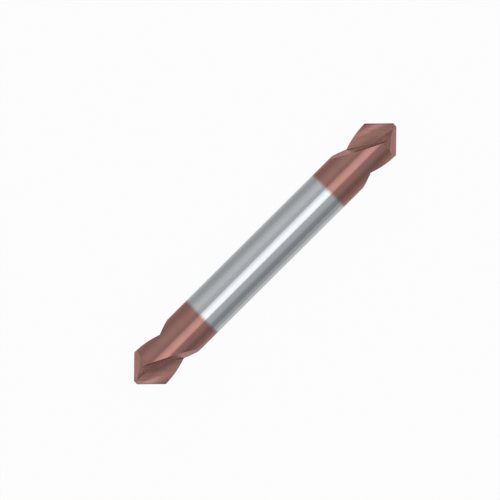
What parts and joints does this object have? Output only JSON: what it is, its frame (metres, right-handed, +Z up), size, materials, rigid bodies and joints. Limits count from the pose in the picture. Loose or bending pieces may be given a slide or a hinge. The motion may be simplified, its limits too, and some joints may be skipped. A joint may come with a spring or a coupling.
{
  "type": "double-ended spotting drill",
  "caption": "Solid carbide spotting drill, ground from one round bar, with a short fluted right-angle point on each end, both ends coated, and a bare round shank between them",
  "frame": {"origin": "Middle of the bar, on its axis.", "axes": "+X runs along the bar's axis. The outer corners of the lips lie in the XY plane, and the two ends are the same, half a turn apart about Z. +Z is up."},
  "size_m": [0.049, 0.006, 0.006],
  "materials": {
    "carbide": "ground, with a coppery hard coating on both ends"
  },
  "bodies": {
    "root": {"spotting_drill": "carbide"}
  },
  "joints": []
}
